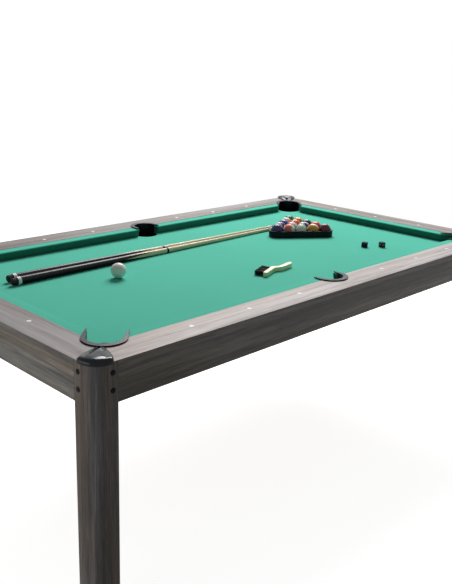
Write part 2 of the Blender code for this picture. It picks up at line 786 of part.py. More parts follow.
def build_chalk(chalk_blue):
    """Two chalk cubes, each dished on top."""
    low = cloth_top + gap
    for name, shares, turn in zip(("chalk_left", "chalk_right"), chalk_place_shares, chalk_turns):
        half = chalk_size / 2
        cube = box((-half, -half, 0), (half, half, chalk_size))
        place = Matrix.Translation((*on_field(shares), low)) @ Matrix.Rotation(math.radians(turn), 4, "Z")
        cube.matrix_world = place
        soften(cube, chalk_edge, 2)
        rise = chalk_dish_radius - chalk_dish_depth
        profile = []
        for step in range(chalk_dish_steps // 2 + 1):
            angle = math.radians(90 - 180 * step / (chalk_dish_steps // 2))
            profile.append((chalk_dish_radius * math.cos(angle), chalk_dish_radius * math.sin(angle)))
        dish = turned(profile, chalk_dish_steps)
        dish.matrix_world = place @ Matrix.Translation((0, 0, chalk_size + rise))
        combine(cube, as_cutter(dish, name + "_dish"))
        keep(cube, name, chalk_blue)


main()
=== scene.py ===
# %% [markdown]
# # A home pool table
# The table's solids come from its CAD frame at their real size. This file gives them their looks:
# boards wrapped in a printed wood foil, stretched green cloth, pocket liners, corner caps, and the
# cues, balls, rack, brush and chalk that lie on the bed. Metres, +Z up, the near side is -Y.

# %% Load the frame
import json
import math
import random

import bmesh
import bpy
from mathutils import Matrix, Vector

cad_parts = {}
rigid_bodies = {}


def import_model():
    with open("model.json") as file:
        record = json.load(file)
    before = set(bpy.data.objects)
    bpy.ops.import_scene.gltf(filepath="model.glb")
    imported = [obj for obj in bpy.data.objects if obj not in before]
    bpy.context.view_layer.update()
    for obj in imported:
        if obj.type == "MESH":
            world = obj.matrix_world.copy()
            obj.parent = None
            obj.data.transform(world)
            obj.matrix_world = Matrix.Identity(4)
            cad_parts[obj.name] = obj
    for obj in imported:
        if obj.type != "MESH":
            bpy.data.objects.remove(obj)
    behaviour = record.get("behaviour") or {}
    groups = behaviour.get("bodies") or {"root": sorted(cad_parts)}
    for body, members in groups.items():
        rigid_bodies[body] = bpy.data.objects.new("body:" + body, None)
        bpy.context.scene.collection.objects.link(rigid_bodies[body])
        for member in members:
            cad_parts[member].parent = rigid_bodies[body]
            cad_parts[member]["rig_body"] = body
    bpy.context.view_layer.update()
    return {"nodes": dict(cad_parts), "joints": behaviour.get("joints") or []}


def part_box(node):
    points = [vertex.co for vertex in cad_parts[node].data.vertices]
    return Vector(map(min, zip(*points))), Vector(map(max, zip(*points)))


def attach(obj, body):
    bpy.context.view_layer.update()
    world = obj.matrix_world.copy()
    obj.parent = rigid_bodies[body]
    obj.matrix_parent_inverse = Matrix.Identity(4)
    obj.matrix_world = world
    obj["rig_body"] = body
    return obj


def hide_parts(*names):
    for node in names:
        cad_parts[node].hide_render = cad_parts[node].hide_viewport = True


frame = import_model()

nodes = frame["nodes"]
joints = {joint["name"]: joint for joint in frame["joints"]}
for leftover in ("Cube", "Light", "Camera"):
    if leftover in bpy.data.objects:
        bpy.data.objects.remove(bpy.data.objects[leftover])

# %% [markdown]
# The heights and lines that everything else hangs on are read from the frame, so a piece can't drift
# away from the solid that carries it.

# %% Levels and lines from the frame
half_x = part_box("right_rail")[1].x
half_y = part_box("back_rail")[1].y
rail_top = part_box("front_rail")[1].z
cloth_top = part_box("bed_cloth")[1].z
nose_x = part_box("cushion_right")[0].x
nose_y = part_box("cushion_back_right")[0].y
gap = 0.0003
weld = 0.00001
signs = {"front_left": (-1, -1), "front_right": (1, -1), "back_right": (1, 1), "back_left": (-1, 1)}
for title, value in (("rail top", rail_top), ("cloth", cloth_top), ("nose x", nose_x), ("nose y", nose_y)):
    print(title, round(value, 4))

# %% [markdown]
# Every piece goes through the same few steps: its faces are turned outwards, its round parts are
# shaded smooth, and it is hung on the body that moves it. One helper does this, so that no step is
# forgotten on any piece.

# %% Helpers that finish a piece
def from_shape(shape, name, closed=True):
    """Make an object of a bmesh. A closed one gets merged corners and outward faces."""
    if closed:
        bmesh.ops.remove_doubles(shape, verts=shape.verts, dist=weld)
        bmesh.ops.recalc_face_normals(shape, faces=shape.faces)
    mesh = bpy.data.meshes.new(name)
    shape.to_mesh(mesh)
    shape.free()
    thing = bpy.data.objects.new(name, mesh)
    bpy.context.scene.collection.objects.link(thing)
    return thing


def finished(thing, material, body, stands_for=(), angle=35.0):
    """Give a piece its material and shading, hang it on its body and hide the nodes it stands for."""
    thing.data.materials.clear()
    thing.data.materials.append(material)
    thing.data.shade_smooth()
    thing.data.set_sharp_from_angle(angle=math.radians(angle))
    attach(thing, body)
    if stands_for:
        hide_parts(*stands_for)


def rounded(thing, width, segments, angle=30.0):
    """Round the sharp edges of a piece, and keep its flat faces looking flat."""
    bevel = thing.modifiers.new("Rounded edges", "BEVEL")
    bevel.width = width
    bevel.segments = segments
    bevel.limit_method = "ANGLE"
    bevel.angle_limit = math.radians(angle)
    bevel.harden_normals = False
    normals = thing.modifiers.new("Flat faces stay flat", "WEIGHTED_NORMAL")
    normals.keep_sharp = True

# %% [markdown]
# A turned piece, such as a cue or a foot, is a profile spun about an axis. The profile is a short
# list of radius and height, and a full spin merges its last edge with its first.

# %% Helpers that make shapes
def turned(profile, steps):
    """A bmesh of a profile of (radius, height) spun about Z."""
    shape = bmesh.new()
    verts = [shape.verts.new((radius, 0, height)) for radius, height in profile]
    edges = [shape.edges.new(pair) for pair in zip(verts, verts[1:])]
    bmesh.ops.spin(shape, geom=verts + edges, cent=(0, 0, 0), axis=(0, 0, 1), dvec=(0, 0, 0),
                   angle=math.tau, steps=steps, use_merge=True, use_duplicate=False)
    return shape


def arc(centre, radius, start, end, steps):
    """Points on an arc, from one angle to another in degrees."""
    turns = [math.radians(start + (end - start) * step / steps) for step in range(steps + 1)]
    return [(centre[0] + radius * math.cos(turn), centre[1] + radius * math.sin(turn)) for turn in turns]


def copy_of(node):
    """A CAD node's mesh with its doubled corners merged and its flat faces joined."""
    shape = bmesh.new()
    shape.from_mesh(nodes[node].data)
    bmesh.ops.remove_doubles(shape, verts=shape.verts, dist=weld)
    bmesh.ops.dissolve_limit(shape, angle_limit=math.radians(1.0), verts=shape.verts, edges=shape.edges)
    return shape


def body_of(node):
    """The name of the body that a CAD node rides on."""
    return nodes[node]["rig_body"]

# %% [markdown]
# A procedural material is a small network of nodes. Writing one out takes many lines that say little,
# so a class adds the nodes: a socket that is given another socket is linked to it, and any other
# value is set. Values that are the same all over go straight to the shader.

# %% A class for finishes
class Finish:
    """A material in the making. Patterns read Object coordinates, so that they stay on the piece."""

    def __init__(self, name, **values):
        self.material = bpy.data.materials.new(name)
        self.material.use_nodes = True
        self.tree = self.material.node_tree
        self.shader = self.tree.nodes["Principled BSDF"]
        for socket, value in values.items():
            self.give(self.shader, socket.replace("_", " ").title().replace("Ior", "IOR"), value)
        self.place = self.add("TexCoord").outputs["Object"]

    def give(self, node, socket, value):
        """Link or set one input of a node."""
        slot = node.inputs[socket]
        if isinstance(value, bpy.types.NodeSocket):
            self.tree.links.new(value, slot)
        elif slot.type == "RGBA":
            slot.default_value = (*value[:3], 1.0)
        else:
            slot.default_value = value

    def add(self, kind, inputs=(), **settings):
        """Add a shader node by the last part of its type name."""
        node = self.tree.nodes.new("ShaderNode" + kind)
        for setting, value in settings.items():
            setattr(node, setting, value)
        for socket, value in dict(inputs).items():
            self.give(node, socket, value)
        return node

    def maths(self, operation, first, second=0.0, clamp=False):
        return self.add("Math", {0: first, 1: second}, operation=operation, use_clamp=clamp).outputs[0]

    def vector(self, operation, first, second=(0.0, 0.0, 0.0)):
        node = self.add("VectorMath", {0: first, 1: second}, operation=operation)
        return node.outputs["Value" if operation in ("DOT_PRODUCT", "LENGTH") else "Vector"]

    def mapped(self, place=(0, 0, 0), turn=(0, 0, 0), stretch=(1, 1, 1), kind="POINT"):
        """Object coordinates that are moved, turned and stretched."""
        inputs = {"Vector": self.place, "Location": place, "Rotation": turn, "Scale": stretch}
        return self.add("Mapping", inputs, vector_type=kind).outputs[0]

    def noise(self, place, scale, detail=2.0, roughness=0.5, distortion=0.0):
        inputs = {"Vector": place, "Scale": scale, "Detail": detail, "Roughness": roughness,
                  "Distortion": distortion}
        return self.add("TexNoise", inputs).outputs[0]

    def spread(self, value, low, high, new_low=0.0, new_high=1.0):
        """Map a value from one range to another and hold it there."""
        return self.add("MapRange", {0: value, 1: low, 2: high, 3: new_low, 4: new_high}).outputs[0]

    def ramp(self, value, stops):
        """A colour from a value, through stops of (position, colour)."""
        node = self.add("ValToRGB", {0: value})
        marks = node.color_ramp.elements
        while len(marks) < len(stops):
            marks.new(0.5)
        for mark, (position, colour) in zip(marks, stops):
            mark.position = position
            mark.color = (*colour, 1.0)
        return node.outputs[0]

    def mixed(self, share, first, second, blend="MIX"):
        inputs = {0: share, 6: first, 7: second}
        return self.add("Mix", inputs, data_type="RGBA", blend_type=blend).outputs[2]

    def bump(self, height, strength, distance):
        node = self.add("Bump", {"Height": height, "Strength": strength, "Distance": distance})
        self.give(self.shader, "Normal", node.outputs[0])

    def coloured(self, colour, roughness=None):
        """Send a pattern to the shader and hand over the finished material."""
        self.give(self.shader, "Base Color", colour)
        if roughness is not None:
            self.give(self.shader, "Roughness", roughness)
        return self.material

# %% [markdown]
# The boards are covered with a printed wood foil. Its streaks run along the board, a few knots
# bend them, and fine fibres give the satin surface its tooth. Stretching the coordinates along the
# grain turns round noise into streaks: wide ones for the print's heartwood and sapwood, narrow ones
# for the growth between them. A sine of the distance across gives faint year lines in patches, and
# pushing its phase near the knots lets the lines flow round them. A slower noise leads the colour
# from grey to brown, because such a print mixes both. Every rail gets a foil of its own, from another
# stretch of the print. The rails at the back and the ends get darker tones, which is painted shade,
# and the end aprons get paler tones than the long aprons, which is painted light.

# %% The wood foil
foil_roughness = (0.52, 0.42)


def wood_foil(name, grain, tones, brown, shift):
    """A foil whose streaks follow axis 0, 1 or 2. The tones run from dark to light."""
    foil = Finish(name, specular_ior_level=0.20)
    turn = ((0, 0, 0), (0, 0, math.pi / 2), (0, math.pi / 2, 0))[grain]
    along = foil.mapped((shift, shift * 1.7, shift * 0.6), turn)

    def streaks(length, width, detail, roughness, bend):
        stretched = foil.vector("MULTIPLY", along, (length, width, width))
        return foil.noise(stretched, 1.0, detail, roughness, bend)

    knots = foil.add("TexVoronoi", {"Vector": foil.vector("MULTIPLY", along, (1.7, 8.0, 8.0)),
                                    "Scale": 1.0, "Randomness": 1.0})
    chosen = foil.maths("GREATER_THAN", foil.add("SeparateColor", {0: knots.outputs[1]}).outputs[0], 0.66)
    near = foil.maths("MULTIPLY", foil.spread(knots.outputs[0], 0.0, 0.45, 1.0, 0.0), chosen)
    eye = foil.maths("MULTIPLY", foil.spread(knots.outputs[0], 0.02, 0.10, 0.8, 0.0), chosen)
    phase = foil.maths("ADD", foil.vector("DOT_PRODUCT", along, (0.0, 310.0, 310.0)),
                       foil.maths("MULTIPLY", streaks(1.1, 9.0, 4.0, 0.6, 0.3), 40.0))
    phase = foil.maths("ADD", phase, foil.maths("MULTIPLY", foil.maths("POWER", near, 2.0), 14.0))
    patch = foil.spread(streaks(0.9, 6.0, 2.0, 0.5, 0.0), 0.46, 0.66, 0.0, 0.17)
    lines = foil.maths("MULTIPLY", foil.maths("SINE", phase), patch)
    wide = foil.spread(streaks(1.0, 19.0, 5.0, 0.60, 0.5), 0.38, 0.62, 0.0, 0.55)
    narrow = foil.spread(streaks(2.6, 70.0, 5.0, 0.65, 0.3), 0.36, 0.64, 0.0, 0.45)
    fibre = streaks(16.0, 620.0, 3.0, 0.7, 0.0)
    tone = foil.maths("ADD", foil.maths("ADD", wide, narrow), lines)
    tone = foil.maths("ADD", tone, foil.spread(fibre, 0.25, 0.75, -0.22, 0.22))
    tone = foil.maths("SUBTRACT", tone, foil.maths("MULTIPLY", near, 0.22), clamp=True)
    colour = foil.ramp(tone, [(0.0, tones[0]), (0.5, tones[1]), (1.0, tones[2])])
    browner = foil.spread(streaks(0.5, 16.0, 3.0, 0.5, 0.2), 0.42, 0.58)
    colour = foil.mixed(browner, colour, brown, "MULTIPLY")
    dark = tuple(value * 0.35 for value in tones[0])
    foil.bump(foil.maths("ADD", fibre, foil.maths("MULTIPLY", tone, 0.5)), 0.25, 0.0003)
    satin = foil.spread(fibre, 0.3, 0.7, *foil_roughness)
    return foil.coloured(foil.mixed(eye, colour, dark), satin)


def shaded(tones, share):
    """The same print's tones times a share: below 1 this is painted shade, above 1 painted light."""
    return tuple(tuple(value * share for value in tone) for tone in tones)


rail_tones = ((0.165, 0.132, 0.120), (0.415, 0.370, 0.368), (0.535, 0.500, 0.506))
apron_tones = ((0.026, 0.025, 0.021), (0.115, 0.110, 0.099), (0.300, 0.288, 0.265))
post_tones = ((0.026, 0.024, 0.024), (0.120, 0.114, 0.116), (0.260, 0.248, 0.256))
rail_brown = (0.84, 0.74, 0.66)
side_brown = (0.92, 0.85, 0.73)
post_brown = (0.92, 0.72, 0.50)
end_brown = (0.95, 0.81, 0.69)
rail_foils = {}
# The shares below 1 darken the back and end rails with painted shade.
for side, grain, share, shift in (("front", 0, 1.0, 0.31), ("back", 0, 0.52, 1.57),
                                  ("left", 1, 0.58, 2.73), ("right", 1, 0.68, 3.46)):
    name = "foil along the %s rail" % side
    rail_foils[side] = wood_foil(name, grain, shaded(rail_tones, share), rail_brown, shift)
long_apron_foil = wood_foil("foil along the long aprons", 0, apron_tones, side_brown, 5.12)
# The end aprons take the aprons' tones made 1.7 times paler, which is painted light on the ends.
end_apron_foil = wood_foil("foil along the end aprons", 1, shaded(apron_tones, 1.70), end_brown, 7.44)
post_foil = wood_foil("foil up the posts", 2, post_tones, post_brown, 9.86)

# %% [markdown]
# The rails, aprons and posts already have their real shape as solids. Each is copied, its sharp edges
# are rounded by half a millimetre as a foil-wrapped edge is, and the copy stands for its node.

# %% Rails, aprons and posts
edge_round = 0.0005


def dress(node, material, slot, width=edge_round, segments=2, angle=30.0):
    """A rounded copy of a CAD node that stands for it."""
    thing = from_shape(copy_of(node), node + ("_board" if slot.endswith("wood") else "_skin"))
    finished(thing, material, body_of(node), [node], angle)
    rounded(thing, width, segments, angle)


for side, foil in rail_foils.items():
    dress(side + "_rail", foil, "rail_wood")
for side in ("front", "back"):
    dress(side + "_apron", long_apron_foil, "apron_wood")
for side in ("left", "right"):
    dress(side + "_apron", end_apron_foil, "apron_wood")
for corner in signs:
    dress("leg_post_" + corner, post_foil, "post_wood")
print("twelve boards dressed")

# %% [markdown]
# The bed is a board of pressed fibre, and a frame of sawn battens carries it. Both are seen only from
# below, so the solids stay and only get their material.

# %% Bed board and its frame
def sawn_timber(name, grain, tones):
    timber = Finish(name, specular_ior_level=0.3)
    turn = ((0, 0, 0), (0, 0, math.pi / 2))[grain]
    along = timber.mapped((1.3, 0.4, 0.2), turn)
    rings = timber.noise(timber.vector("MULTIPLY", along, (2.0, 60.0, 60.0)), 1.0, 4.0, 0.6, 0.6)
    saw = timber.noise(timber.vector("MULTIPLY", along, (500.0, 30.0, 30.0)), 1.0, 2.0)
    timber.bump(timber.maths("ADD", rings, saw), 0.4, 0.0004)
    colour = timber.ramp(rings, [(0.25, tones[0]), (0.55, tones[1]), (0.8, tones[2])])
    return timber.coloured(colour, timber.spread(saw, 0.3, 0.7, 0.65, 0.85))


def fibre_board(name, colour):
    board = Finish(name, specular_ior_level=0.3)
    flecks = board.noise(board.place, 900.0, 3.0, 0.7)
    clouds = board.noise(board.place, 9.0, 3.0)
    board.bump(flecks, 0.2, 0.0002)
    darker = tuple(value * 0.78 for value in colour)
    shade = board.mixed(board.spread(clouds, 0.35, 0.65), darker, colour)
    bark = board.spread(flecks, 0.55, 0.75, 0.0, 0.35)
    return board.coloured(board.mixed(bark, shade, (0.2, 0.14, 0.08)), 0.8)


def carry_over(node, material):
    """A CAD node whose shape is right keeps its mesh and gets a better material."""
    nodes[node].data.materials.clear()
    nodes[node].data.materials.append(material)


timber_tones = ((0.36, 0.25, 0.14), (0.55, 0.42, 0.26), (0.66, 0.53, 0.35))
carry_over("bed_frame", sawn_timber("sawn timber", 0, timber_tones))
carry_over("bed_panel", fibre_board("pressed fibre board", (0.45, 0.34, 0.22)))

# %% [markdown]
# The playing cloth is a napped wool blend. Seen across the nap it gets paler, which is what the sheen
# of the shader does. Very fine noise makes the fibres, and broad soft noise the small differences
# in how the nap lies. Below a cushion's nose the cloth is darkened with painted shade, standing in
# for the shadow that the nose casts on the face below it.

# %% Cloth finishes
# Depths below the rail top where the painted shade under a cushion's nose is full and where it starts, and
# the share of colour left in it.
nose_shade_full_depth = 0.0075
nose_shade_start_depth = 0.0045
nose_shade_share = (0.32, 0.34, 0.34)


def baize(name, colour, sheen, painted_nose_shade=None):
    """Cloth. Where a share is given, its colour below a cushion's nose is multiplied by it as painted
    shade.
    """
    cloth = Finish(name, roughness=0.92, specular_ior_level=0.15, sheen_weight=sheen,
                   sheen_roughness=0.45, sheen_tint=(0.62, 0.95, 0.86))
    fibres = cloth.noise(cloth.place, 1500.0, 3.0, 0.75)
    brushed = cloth.noise(cloth.mapped(stretch=(260.0, 900.0, 900.0)), 1.0, 2.0, 0.6)
    lie = cloth.noise(cloth.place, 2.2, 3.0, 0.5)
    cloth.bump(cloth.maths("ADD", fibres, cloth.maths("MULTIPLY", brushed, 0.6)), 0.35, 0.0004)
    darker = tuple(value * 0.80 for value in colour)
    lighter = tuple(min(1.0, value * 1.16 + 0.006) for value in colour)
    shade = cloth.mixed(cloth.spread(lie, 0.35, 0.65), tuple(value * 0.95 for value in colour), colour)
    shade = cloth.mixed(cloth.spread(fibres, 0.30, 0.52, 0.55, 0.0), shade, darker)
    shade = cloth.mixed(cloth.spread(brushed, 0.5, 0.8, 0.0, 0.6), shade, lighter)
    # Painted shade: below the nose the colour falls to the given share, standing in for the nose's shadow.
    if painted_nose_shade:
        height = cloth.add("SeparateXYZ", {0: cloth.place}).outputs[2]
        hidden = cloth.spread(height, rail_top - nose_shade_full_depth, rail_top - nose_shade_start_depth, 1.0, 0.0)
        shade = cloth.mixed(hidden, shade, painted_nose_shade, "MULTIPLY")
    return cloth.coloured(shade)


# The cushion cloth is written a little paler than the bed cloth, a painted lightening of the cushion tops.
bed_baize = baize("bed baize", (0.088, 0.54, 0.395), 0.12)
cushion_baize = baize("cushion baize", (0.092, 0.56, 0.41), 0.05, nose_shade_share)

# %% [markdown]
# The bed cloth is one sheet, glued down and pulled tight over the edges of the six pocket holes. A copy
# of its solid has the true outline. Its upper edges are rounded, because cloth can't turn a sharp corner.

# %% Bed cloth
cloth_round = 0.0004


bed_sheet = from_shape(copy_of("bed_cloth"), "bed_baize_sheet")
finished(bed_sheet, bed_baize, "table", ["bed_cloth"])
rounded(bed_sheet, cloth_round, 2)

# %% [markdown]
# A cushion is a strip of rubber on a wooden tongue, wrapped in the same cloth. Its section is drawn once:
# a round nose, a top that falls slightly to it, and an undercut below, so that a ball meets only the
# nose. The section is extruded along the rail, then two planes cut each end slanting towards its pocket.

# %% The cushion's section
rail_width = 0.112
cushion_depth = half_x - nose_x - rail_width
tongue = 0.045
nose_radius = 0.0040
nose_height = rail_top - 0.005
undercut = 0.006
heel_radius = 0.003
shoulder_radius = 0.0015
cushion_top = rail_top - 0.001
cushion_round = 0.0012
board_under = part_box("front_rail")[0].z


def cushion_section():
    """Outline of the section: distance in from the rail's edge, and height."""
    low = cloth_top + gap
    middle = (cushion_depth - nose_radius, nose_height - nose_radius * 0.25)
    heel = (cushion_depth - undercut - heel_radius, low + heel_radius)
    shoulder = (gap + shoulder_radius, cushion_top - shoulder_radius)
    outline = [(-tongue, low), (heel[0], low)]
    outline += arc(heel, heel_radius, -60, 0, 4)
    outline += arc(middle, nose_radius, -20, 78, 12)
    outline += [(cushion_depth * 0.55, cushion_top), (shoulder_radius * 2, cushion_top)]
    outline += arc(shoulder, shoulder_radius, 90, 180, 4)
    outline += [(gap, board_under - gap), (-tongue, board_under - gap)]
    return outline

# %% [markdown]
# Where a cushion ends is measured on its solid: the corners on the nose line and those on the back line
# give the two points that each slanting cut goes through.

# %% Six cushions
line_reach = 0.0004


def run_ends(node, axis, inward, at_nose):
    """The two ends of a cushion's nose line or back line, along its run."""
    other = 1 - axis
    sign = 1 if inward > 0 else -1
    places = [vert.co for vert in nodes[node].data.vertices]
    line = max(sign * place[other] for place in places)
    if not at_nose:
        line -= cushion_depth
    found = [place[axis] for place in places if abs(sign * place[other] - line) < line_reach]
    return min(found), max(found)


def cut(shape, point, outward):
    """Remove what lies beyond a plane and close the cut."""
    everything = shape.verts[:] + shape.edges[:] + shape.faces[:]
    result = bmesh.ops.bisect_plane(shape, geom=everything, plane_co=point, plane_no=outward,
                                    clear_outer=True, dist=weld)
    rim = [item for item in result["geom_cut"] if isinstance(item, bmesh.types.BMEdge)]
    if rim:
        bmesh.ops.holes_fill(shape, edges=rim)


def make_cushion(node):
    """Extrude the section along the rail, cut both ends, and return where the nose ends."""
    low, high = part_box(node)
    axis = 0 if high.x - low.x > high.y - low.y else 1
    middle = (low + high) / 2
    inward = -1.0 if middle[1 - axis] > 0 else 1.0
    nose_ends = run_ends(node, axis, inward, True)
    back_ends = run_ends(node, axis, inward, False)
    nose_line = -inward * (nose_y if axis == 0 else nose_x)
    back_line = nose_line - inward * cushion_depth
    shape = bmesh.new()
    start = low[axis] - tongue
    ring = []
    for depth, height in cushion_section():
        across = back_line + inward * depth
        place = (start, across, height) if axis == 0 else (across, start, height)
        ring.append(shape.verts.new(place))
    face = shape.faces.new(ring)
    grown = bmesh.ops.extrude_face_region(shape, geom=[face], use_keep_orig=True)["geom"]
    along = Vector((1, 0, 0)) if axis == 0 else Vector((0, 1, 0))
    moved = [item for item in grown if isinstance(item, bmesh.types.BMVert)]
    bmesh.ops.translate(shape, vec=along * (high[axis] - low[axis] + 2 * tongue), verts=moved)
    for end, outward in ((0, -along), (1, along)):
        nose = Vector((nose_ends[end], nose_line, 0) if axis == 0 else (nose_line, nose_ends[end], 0))
        back = Vector((back_ends[end], back_line, 0) if axis == 0 else (back_line, back_ends[end], 0))
        slant = (nose - back).cross(Vector((0, 0, 1))).normalized()
        cut(shape, nose, slant if slant.dot(outward) > 0 else -slant)
        cut(shape, back, outward)
    thing = from_shape(shape, node + "_rubber")
    finished(thing, cushion_baize, "table", [node])
    rounded(thing, cushion_round, 3, 50.0)
    return nose_ends


for name in ("cushion_front_left", "cushion_front_right", "cushion_back_left", "cushion_back_right",
             "cushion_left", "cushion_right"):
    print(name, "nose from and to", [round(value, 4) for value in make_cushion(name)])

# %% [markdown]
# Pocket liners, corner caps and feet are moulded plastic. The liners have a fine satin grain, and the
# caps are polished, so they show the room. A little noise in the roughness keeps both from looking
# like glass.

# %% Plastic finishes
def moulded(name, colour, gloss, grain, grain_depth, shine=0.5):
    """Plastic with fine pits. Gloss is its least roughness, and shine is how much it mirrors."""
    plastic = Finish(name, specular_ior_level=shine)
    pits = plastic.noise(plastic.place, grain, 2.0, 0.6)
    handling = plastic.noise(plastic.place, 38.0, 4.0, 0.65, 0.3)
    plastic.bump(pits, grain_depth, 0.0002)
    worn = tuple(value * 1.6 + 0.004 for value in colour)
    shade = plastic.mixed(plastic.spread(handling, 0.45, 0.75, 0.0, 0.6), colour, worn)
    return plastic.coloured(shade, plastic.spread(handling, 0.3, 0.7, gloss, gloss + 0.12))


liner_plastic = moulded("liner plastic", (0.006, 0.008, 0.013), 0.20, 1600.0, 0.03, 0.10)
cap_plastic = moulded("cap plastic", (0.005, 0.008, 0.015), 0.10, 500.0, 0.02, 0.14)
foot_plastic = moulded("foot plastic", (0.018, 0.018, 0.018), 0.45, 900.0, 0.2)
rack_plastic = moulded("rack plastic", (0.006, 0.006, 0.007), 0.16, 700.0, 0.03, 0.12)
rubber = moulded("bumper rubber", (0.012, 0.012, 0.012), 0.65, 1200.0, 0.3, 0.2)
bolt_plastic = moulded("bolt cap plastic", (0.003, 0.003, 0.003), 0.55, 1200.0, 0.1, 0.06)

# %% [markdown]
# A pocket liner is a cup below the bed with a horseshoe rim over the rail. The rim is what a hand and
# an eye meet, so its edges are rounded by nearly a millimetre.

# %% Pocket liners
rim_round = 0.0009

for name in ["corner_pocket_" + corner for corner in signs] + ["side_pocket_front", "side_pocket_back"]:
    dress(name, liner_plastic, "pocket_plastic", rim_round, 3, 35.0)

# %% [markdown]
# A corner cap is a polished shield whose top is crowned. Its solid has a flat top, so the copy's top
# face is inset ring by ring, and each ring rises a little less than the last, as on a shallow bowl
# turned upside down. A flat top would mirror one shade all over, and the crown bends what it mirrors.

# %% Corner caps
crown_height = 0.0018
crown_rings = 6
crown_ring_width = 0.0022
crown_polish = 12


def crown(shape):
    """Raise the largest upward face of a shape to a shallow dome, and smooth its ridges."""
    upward = [face for face in shape.faces if face.normal.z > 0.8]
    top_face = max(upward, key=lambda face: face.calc_area())
    rings = []
    for ring in range(crown_rings):
        rise = crown_height * (2 * (crown_rings - ring) - 1) / crown_rings ** 2
        bmesh.ops.inset_individual(shape, faces=[top_face], thickness=crown_ring_width, depth=rise,
                                   use_even_offset=True)
        rings += top_face.verts[:]
    for _ in range(crown_polish):
        bmesh.ops.smooth_vert(shape, verts=rings, factor=0.5,
                              use_axis_x=False, use_axis_y=False, use_axis_z=True)
    return top_face.calc_area()


for corner in signs:
    shape = copy_of("corner_cap_" + corner)
    left_flat = crown(shape)
    thing = from_shape(shape, "corner_cap_" + corner + "_skin")
    finished(thing, cap_plastic, "table", ["corner_cap_" + corner], 40.0)
    print("cap", corner, "top left flat", round(left_flat * 1e6), "square mm")

# %% [markdown]
# White sights are let into the rails opposite the quarter points of the field. Each is a low disc with a
# rounded edge, spun from its profile. The bolts that hold the posts are hidden under black press-in
# caps, two on each outer face of a post.

# %% Sights and bolt caps
sight_radius = 0.0075
sight_rise = 0.0005
sight_out = 0.0870
bolt_radius = 0.0078
bolt_rise = 0.0014
bolt_edge = 0.0010
disc_lift = 0.00005
bolt_from_corner = 0.064
bolt_drops = (0.030, 0.080)


def low_disc(radius, rise, edge, steps):
    """A disc that stands a little proud of a face, with a rounded edge."""
    profile = [(0, rise), (radius - edge * 2.2, rise)]
    profile += arc((radius - edge, rise - edge), edge, 75, 0, 4)
    profile += [(radius, disc_lift), (0, disc_lift)]
    return turned(profile, steps)


def pearl(name):
    inlay = Finish(name, roughness=0.22, coat_weight=0.3)
    cloud = inlay.spread(inlay.noise(inlay.place, 260.0, 3.0, 0.6, 0.8), 0.35, 0.7)
    return inlay.coloured(inlay.mixed(cloud, (0.90, 0.90, 0.88), (0.97, 0.97, 0.96)))


sight_white = pearl("white inlay")
places = []
for sign in (-1, 1):
    for x in (-0.75, -0.5, -0.25, 0.25, 0.5, 0.75):
        places.append(("front" if sign < 0 else "back", x * nose_x, sign * (nose_y + sight_out)))
    for y in (-0.5, 0.0, 0.5):
        places.append(("left" if sign < 0 else "right", sign * (nose_x + sight_out), y * nose_y))
for number, (side, x, y) in enumerate(places):
    shape = low_disc(sight_radius, sight_rise, sight_rise, 32)
    bmesh.ops.translate(shape, vec=(x, y, rail_top), verts=shape.verts)
    finished(from_shape(shape, "sight_%s_%02d" % (side, number + 1)), sight_white, "table")

for corner, (sx, sy) in signs.items():
    for face in ("long", "end"):
        for number, drop in enumerate(bolt_drops):
            shape = low_disc(bolt_radius, bolt_rise, bolt_edge, 40)
            if face == "long":
                turn = Matrix.Rotation(math.radians(-90 * sy), 4, "X")
                place = (sx * (half_x - bolt_from_corner), sy * half_y, rail_top - drop)
            else:
                turn = Matrix.Rotation(math.radians(90 * sx), 4, "Y")
                place = (sx * half_x, sy * (half_y - bolt_from_corner), rail_top - drop)
            bmesh.ops.transform(shape, matrix=Matrix.Translation(place) @ turn, verts=shape.verts)
            name = "bolt_cap_%s_%s_%d" % (corner, face, number + 1)
            finished(from_shape(shape, name), bolt_plastic, "table")
print(len(places), "sights and", len(signs) * 2 * len(bolt_drops), "bolt caps")

# %% [markdown]
# Each foot is a screw with a round pad, turned by hand to level the table. Ridges round the pad give the
# fingers a grip: after the spin, the points of the pad's rim are moved in and out by a cosine.

# %% Feet
foot_radius = 0.020
foot_chamfer = 0.0012
grip_low = 0.0015
grip_round = 0.0016
grip_high = 0.0066
grip_inset = 0.0018
pad_height = 0.0088
neck_radius = 0.011
neck_height = 0.012
neck_round = 0.0008
screw_radius = 0.005
screw_chamfer = 0.001
grip_count = 18
grip_depth = 0.0007

for corner in signs:
    low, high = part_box("leveler_" + corner)
    middle = (low + high) / 2
    profile = [(0, high.z), (screw_radius - neck_round, high.z), (screw_radius, high.z - screw_chamfer)]
    profile += [(screw_radius, neck_height), (neck_radius, neck_height)]
    profile += arc((neck_radius, neck_height - neck_round), neck_round, 90, 10, 3)
    profile += [(foot_radius - 2 * grip_low, pad_height)]
    profile += arc((foot_radius - grip_inset, grip_high), grip_round, 80, 0, 4)
    profile += [(foot_radius, grip_low), (foot_radius - foot_chamfer, 0.0), (0, 0.0)]
    shape = turned(profile, grip_count * 8)
    for vert in shape.verts:
        reach = math.hypot(vert.co.x, vert.co.y)
        if reach > foot_radius - grip_low and vert.co.z > 0.0:
            wave = 0.5 - 0.5 * math.cos(grip_count * math.atan2(vert.co.y, vert.co.x))
            vert.co.xy *= (reach - grip_depth * wave) / reach
    bmesh.ops.translate(shape, vec=(middle.x, middle.y, 0), verts=shape.verts)
    thing = from_shape(shape, "foot_" + corner)
    finished(thing, foot_plastic, body_of("leveler_" + corner), ["leveler_" + corner])

